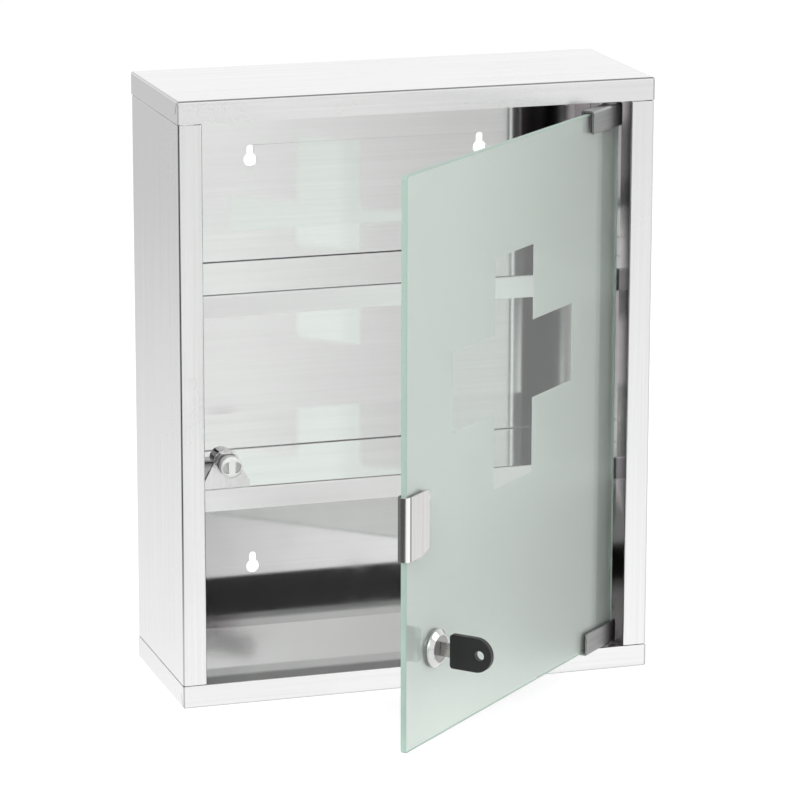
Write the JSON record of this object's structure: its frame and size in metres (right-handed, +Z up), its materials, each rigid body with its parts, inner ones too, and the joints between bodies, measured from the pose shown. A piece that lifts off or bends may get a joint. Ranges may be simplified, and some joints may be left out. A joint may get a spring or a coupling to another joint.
{
  "type": "lockable medicine cabinet",
  "caption": "Shallow wall cabinet of folded steel with fixed shelves and a frosted glass door that swings on pivot clips, closes on a magnetic catch and locks with a keyed cam.",
  "frame": {"origin": "centre of the flat underside of the body", "axes": "+X to the right seen from the front, +Y towards the wall, +Z up; the door stands 43 degrees open at rest"},
  "size_m": [0.32, 0.307, 0.4],
  "materials": {
    "body_steel": "pale fine-brushed stainless steel",
    "panel_steel": "bright fine-brushed stainless steel",
    "shelf_steel": "bright, almost mirror-like stainless steel",
    "bracket_steel": "satin steel",
    "nylon": "natural nylon",
    "catch_plate": "white painted steel",
    "catch_plastic": "white moulded plastic",
    "catch_body": "dark polished steel",
    "magnet": "sintered magnet",
    "door_glass": "clear float glass with ground edges, slightly green",
    "frosted_film": "satin frosted layer, pale grey-green",
    "clip_steel": "satin steel, grey",
    "gasket": "dark soft gasket",
    "screw_steel": "plated steel",
    "handle_steel": "brushed steel",
    "lock_chrome": "bright chrome",
    "plug_metal": "satin nickel",
    "cam_steel": "zinc plated steel",
    "wafer_brass": "brass",
    "key_metal": "nickel silver",
    "key_plastic": "black moulded plastic"
  },
  "bodies": {
    "cabinet": {"top_cap": "body_steel", "bottom_cap": "body_steel", "left_side": "body_steel", "right_side": "body_steel", "back_panel": "panel_steel", "upper_shelf": "shelf_steel", "lower_shelf": "shelf_steel", "top_hinge_bracket": "bracket_steel", "bottom_hinge_bracket": "bracket_steel", "top_pivot_bush": "nylon", "bottom_pivot_bush": "nylon", "catch_bracket": "catch_plate", "catch_housing": "catch_body", "catch_barrel": "catch_plastic", "catch_nut": "screw_steel", "catch_magnet": "magnet", "catch_poles": "screw_steel"},
    "door": {"door_glass": "door_glass", "frosted_film": "frosted_film", "top_hinge_clip": "clip_steel", "bottom_hinge_clip": "clip_steel", "top_clip_gasket": "gasket", "bottom_clip_gasket": "gasket", "clamp_screws": "screw_steel", "top_pivot_pin": "screw_steel", "bottom_pivot_pin": "screw_steel", "thrust_washers": "nylon", "pull_handle": "handle_steel", "handle_gasket": "gasket", "lock_barrel": "lock_chrome", "rim_gasket": "gasket", "nut_washer": "screw_steel", "lock_nut": "screw_steel"},
    "lock_core": {"lock_plug": "plug_metal", "lock_cam": "cam_steel", "cam_washer": "screw_steel", "cam_screw": "screw_steel"},
    "wafer_set": {"lock_wafers": "wafer_brass"},
    "key": {"key_blade": "key_metal", "key_head": "key_plastic"}
  },
  "joints": [
    {"name": "door_swing", "type": "hinge", "parent": "cabinet", "child": "door", "pos_m": [0.131, -0.055, 0.2], "axis": [0, 0, 1], "range_deg": [-43, 67]},
    {"name": "plug_turn", "type": "hinge", "parent": "door", "child": "lock_core", "pos_m": [-0.03709, -0.21859, 0.0775], "axis": [0.682, -0.7314, 0], "range_deg": [-180, 0]},
    {"name": "key_pull", "type": "slide", "parent": "lock_core", "child": "key", "axis": [0.682, -0.7314, 0], "range_m": [0, 0.03]},
    {"name": "wafer_lift", "type": "slide", "parent": "lock_core", "child": "wafer_set", "axis": [0, 0, 1], "range_m": [0, 0.001]}
  ],
  "couplings": [
    {"joint": "wafer_lift", "follows": "key_pull", "ratio": 0.0333}
  ]
}
